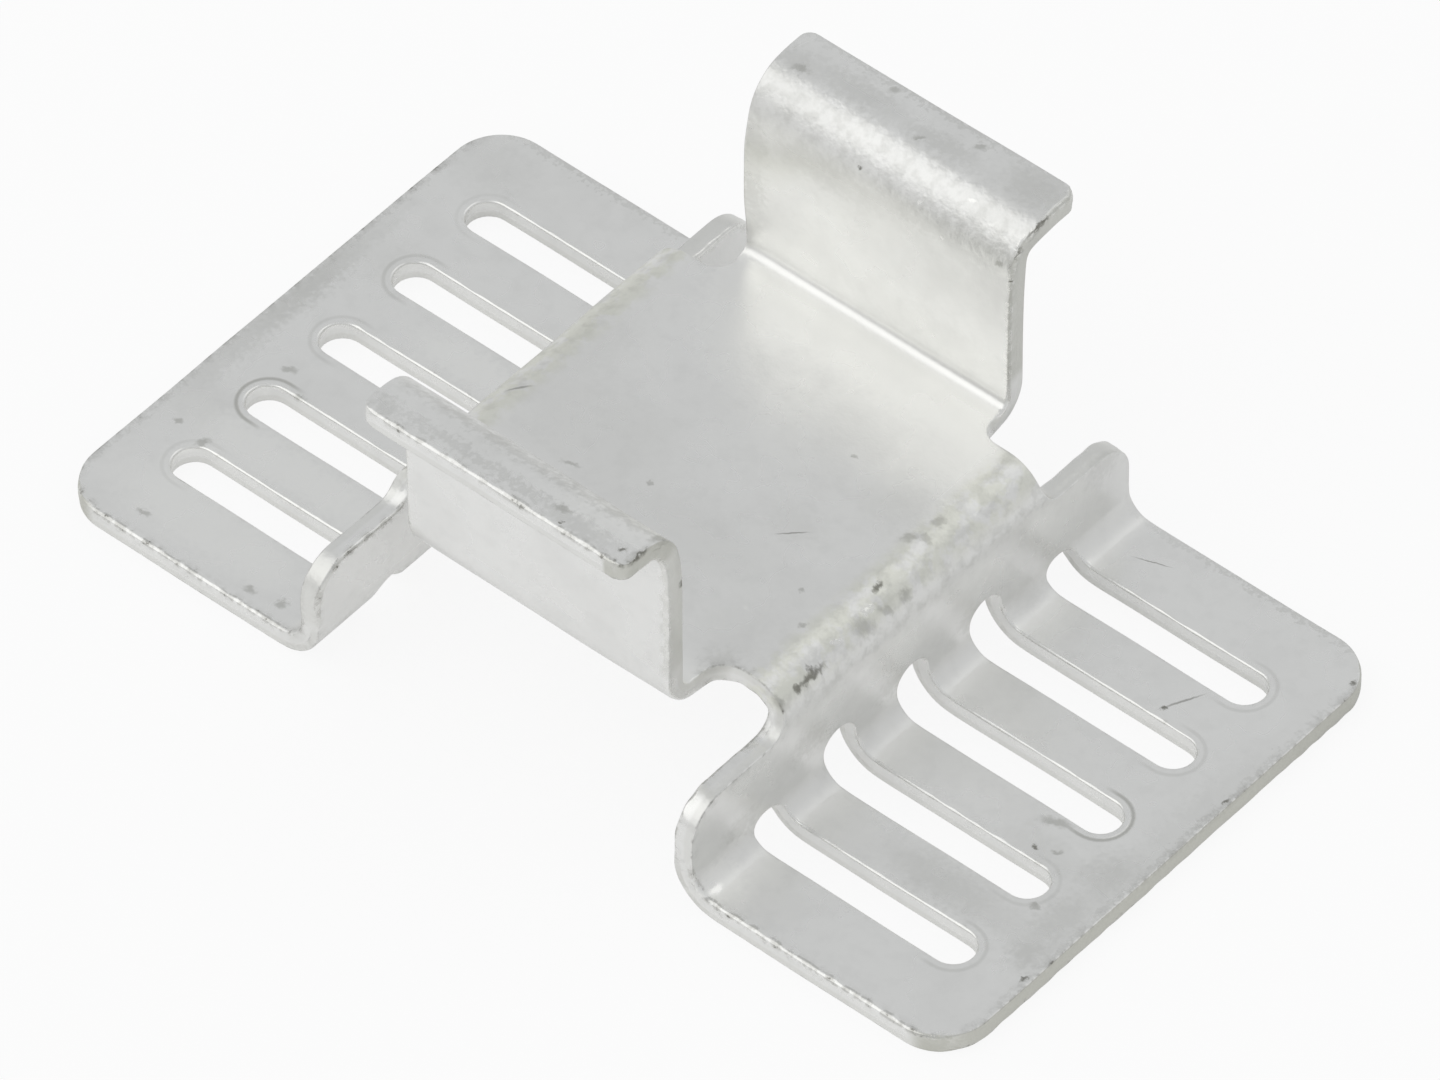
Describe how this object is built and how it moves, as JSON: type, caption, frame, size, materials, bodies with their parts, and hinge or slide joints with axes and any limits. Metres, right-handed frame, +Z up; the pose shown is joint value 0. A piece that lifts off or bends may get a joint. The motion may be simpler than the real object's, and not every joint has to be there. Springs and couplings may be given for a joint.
{
  "type": "board-level heat sink",
  "caption": "Folded tin-plated sheet heat sink: raised platform between upright walls with soldering lips, and a low slotted wing at each end.",
  "frame": {"origin": "in the plane that the wings rest on, under the middle of the platform, as the picture shows the part lying on its wings", "axes": "+X along the slots from wing to wing, +Y from the near wall to the far wall, +Z up from the wings to the lips"},
  "size_m": [0.025, 0.0144, 0.0092],
  "materials": {
    "tinned_sheet": "satin tin plate on stamped and folded sheet, with rolled cut edges, small nicks and specks"
  },
  "bodies": {
    "root": {"heat_sink": "tinned_sheet"}
  },
  "joints": []
}
